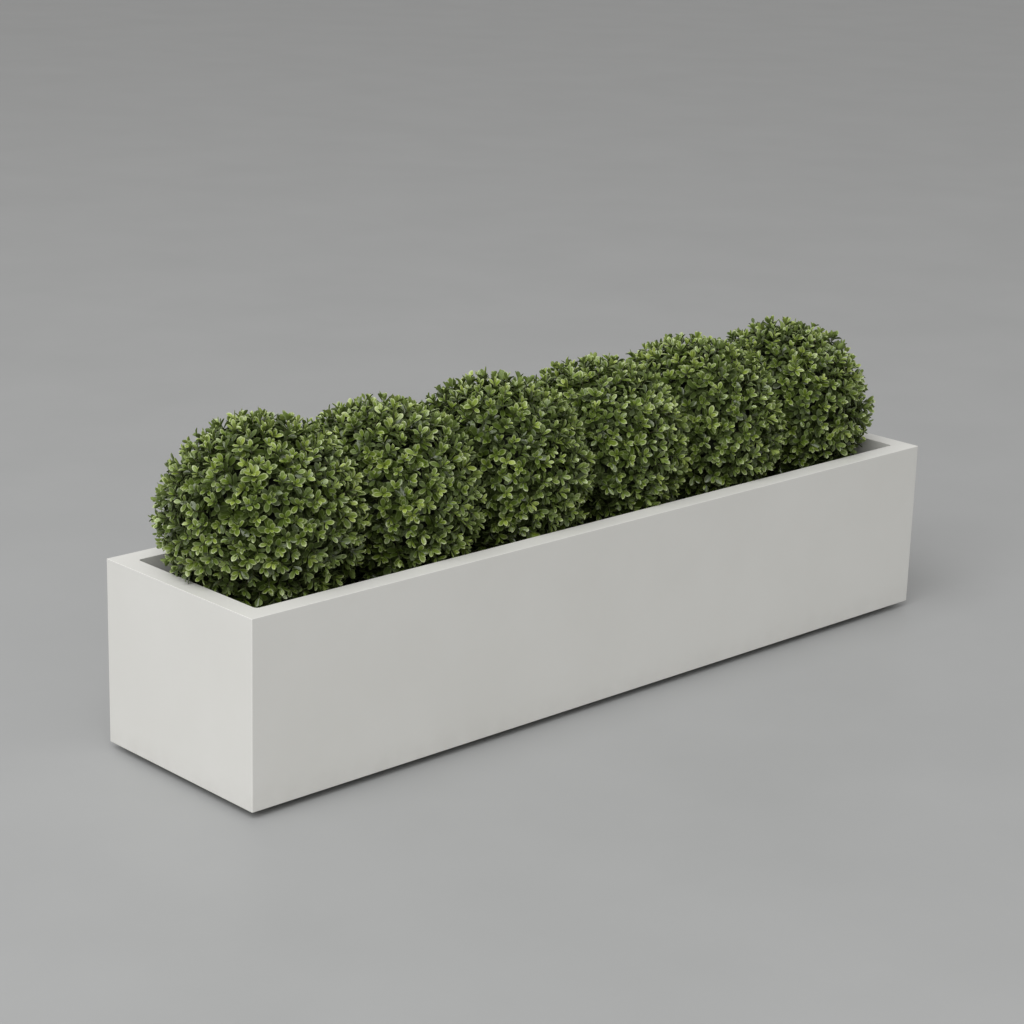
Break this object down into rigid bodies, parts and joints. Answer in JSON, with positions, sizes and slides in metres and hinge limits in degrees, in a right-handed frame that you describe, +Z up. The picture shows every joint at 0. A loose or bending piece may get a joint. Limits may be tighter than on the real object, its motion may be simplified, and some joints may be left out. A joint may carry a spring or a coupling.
{
  "type": "rectangular planter with foliage balls",
  "caption": "Long white rectangular floor planter with a wide rim, set on hidden screw feet, holding a row of clipped artificial box balls that lift off their boards.",
  "frame": {"origin": "on the floor under the middle of the planter", "axes": "+X along the planter's length, -Y towards its front, +Z up"},
  "size_m": [1.3, 0.305, 0.4585],
  "materials": {
    "shell_white": "satin",
    "insert_brass": "satin",
    "rail_metal": "satin",
    "foot_black": "matte",
    "screw_steel": "satin",
    "plug_black": "matte",
    "seal_rubber": "matte",
    "board_wood": "matte",
    "dressing_dark": "matte",
    "leaf_green": "satin",
    "core_dark": "matte"
  },
  "bodies": {
    "planter": {"planter_shell": "shell_white", "foot_inserts": "insert_brass", "rail_front": "rail_metal", "rail_back": "rail_metal", "rail_rivets": "rail_metal", "cross_brace": "rail_metal", "brace_rivets": "rail_metal"},
    "foot_1": {"foot_pad_1": "foot_black"},
    "stud_1": {"foot_stud_1": "screw_steel"},
    "foot_2": {"foot_pad_2": "foot_black"},
    "stud_2": {"foot_stud_2": "screw_steel"},
    "foot_3": {"foot_pad_3": "foot_black"},
    "stud_3": {"foot_stud_3": "screw_steel"},
    "foot_4": {"foot_pad_4": "foot_black"},
    "stud_4": {"foot_stud_4": "screw_steel"},
    "foot_5": {"foot_pad_5": "foot_black"},
    "stud_5": {"foot_stud_5": "screw_steel"},
    "foot_6": {"foot_pad_6": "foot_black"},
    "stud_6": {"foot_stud_6": "screw_steel"},
    "plug_left": {"drain_plug_left": "plug_black", "plug_seal_left": "seal_rubber"},
    "plug_right": {"drain_plug_right": "plug_black", "plug_seal_right": "seal_rubber"},
    "tray_left": {"board_left": "board_wood", "dressing_left": "dressing_dark", "spikes_left": "screw_steel", "spike_nuts_left": "screw_steel"},
    "tray_right": {"board_right": "board_wood", "dressing_right": "dressing_dark", "spikes_right": "screw_steel", "spike_nuts_right": "screw_steel"},
    "ball_1": {"foliage_1": "leaf_green", "core_upper_1": "core_dark", "core_lower_1": "core_dark"},
    "ball_2": {"foliage_2": "leaf_green", "core_upper_2": "core_dark", "core_lower_2": "core_dark"},
    "ball_3": {"foliage_3": "leaf_green", "core_upper_3": "core_dark", "core_lower_3": "core_dark"},
    "ball_4": {"foliage_4": "leaf_green", "core_upper_4": "core_dark", "core_lower_4": "core_dark"},
    "ball_5": {"foliage_5": "leaf_green", "core_upper_5": "core_dark", "core_lower_5": "core_dark"},
    "ball_6": {"foliage_6": "leaf_green", "core_upper_6": "core_dark", "core_lower_6": "core_dark"}
  },
  "joints": [
    {"name": "foot_1_height", "type": "slide", "parent": "planter", "child": "foot_1", "axis": [0, 0, -1], "range_m": [0, 0.0151]},
    {"name": "foot_1_turn", "type": "hinge", "parent": "foot_1", "child": "stud_1", "pos_m": [-0.56, -0.1025, 0.004], "axis": [0, 0, -1], "range_deg": [0, 4320]},
    {"name": "foot_2_height", "type": "slide", "parent": "planter", "child": "foot_2", "axis": [0, 0, -1], "range_m": [0, 0.0151]},
    {"name": "foot_2_turn", "type": "hinge", "parent": "foot_2", "child": "stud_2", "pos_m": [0, -0.1025, 0.004], "axis": [0, 0, -1], "range_deg": [0, 4320]},
    {"name": "foot_3_height", "type": "slide", "parent": "planter", "child": "foot_3", "axis": [0, 0, -1], "range_m": [0, 0.0151]},
    {"name": "foot_3_turn", "type": "hinge", "parent": "foot_3", "child": "stud_3", "pos_m": [0.56, -0.1025, 0.004], "axis": [0, 0, -1], "range_deg": [0, 4320]},
    {"name": "foot_4_height", "type": "slide", "parent": "planter", "child": "foot_4", "axis": [0, 0, -1], "range_m": [0, 0.0151]},
    {"name": "foot_4_turn", "type": "hinge", "parent": "foot_4", "child": "stud_4", "pos_m": [-0.56, 0.1025, 0.004], "axis": [0, 0, -1], "range_deg": [0, 4320]},
    {"name": "foot_5_height", "type": "slide", "parent": "planter", "child": "foot_5", "axis": [0, 0, -1], "range_m": [0, 0.0151]},
    {"name": "foot_5_turn", "type": "hinge", "parent": "foot_5", "child": "stud_5", "pos_m": [0, 0.1025, 0.004], "axis": [0, 0, -1], "range_deg": [0, 4320]},
    {"name": "foot_6_height", "type": "slide", "parent": "planter", "child": "foot_6", "axis": [0, 0, -1], "range_m": [0, 0.0151]},
    {"name": "foot_6_turn", "type": "hinge", "parent": "foot_6", "child": "stud_6", "pos_m": [0.56, 0.1025, 0.004], "axis": [0, 0, -1], "range_deg": [0, 4320]},
    {"name": "plug_left_pull", "type": "slide", "parent": "planter", "child": "plug_left", "axis": [0, 0, 1], "range_m": [0, 0.06]},
    {"name": "plug_right_pull", "type": "slide", "parent": "planter", "child": "plug_right", "axis": [0, 0, 1], "range_m": [0, 0.06]},
    {"name": "tray_left_lift", "type": "slide", "parent": "planter", "child": "tray_left", "axis": [0, 0, 1], "range_m": [0, 0.3]},
    {"name": "tray_right_lift", "type": "slide", "parent": "planter", "child": "tray_right", "axis": [0, 0, 1], "range_m": [0, 0.3]},
    {"name": "ball_1_lift", "type": "slide", "parent": "tray_left", "child": "ball_1", "axis": [0, 0, 1], "range_m": [0, 0.28]},
    {"name": "ball_2_lift", "type": "slide", "parent": "tray_left", "child": "ball_2", "axis": [0, 0, 1], "range_m": [0, 0.28]},
    {"name": "ball_3_lift", "type": "slide", "parent": "tray_left", "child": "ball_3", "axis": [0, 0, 1], "range_m": [0, 0.28]},
    {"name": "ball_4_lift", "type": "slide", "parent": "tray_right", "child": "ball_4", "axis": [0, 0, 1], "range_m": [0, 0.28]},
    {"name": "ball_5_lift", "type": "slide", "parent": "tray_right", "child": "ball_5", "axis": [0, 0, 1], "range_m": [0, 0.28]},
    {"name": "ball_6_lift", "type": "slide", "parent": "tray_right", "child": "ball_6", "axis": [0, 0, 1], "range_m": [0, 0.28]}
  ],
  "couplings": [
    {"joint": "foot_1_height", "follows": "foot_1_turn", "m_per_rad": 0.00019894},
    {"joint": "foot_2_height", "follows": "foot_2_turn", "m_per_rad": 0.00019894},
    {"joint": "foot_3_height", "follows": "foot_3_turn", "m_per_rad": 0.00019894},
    {"joint": "foot_4_height", "follows": "foot_4_turn", "m_per_rad": 0.00019894},
    {"joint": "foot_5_height", "follows": "foot_5_turn", "m_per_rad": 0.00019894},
    {"joint": "foot_6_height", "follows": "foot_6_turn", "m_per_rad": 0.00019894}
  ]
}
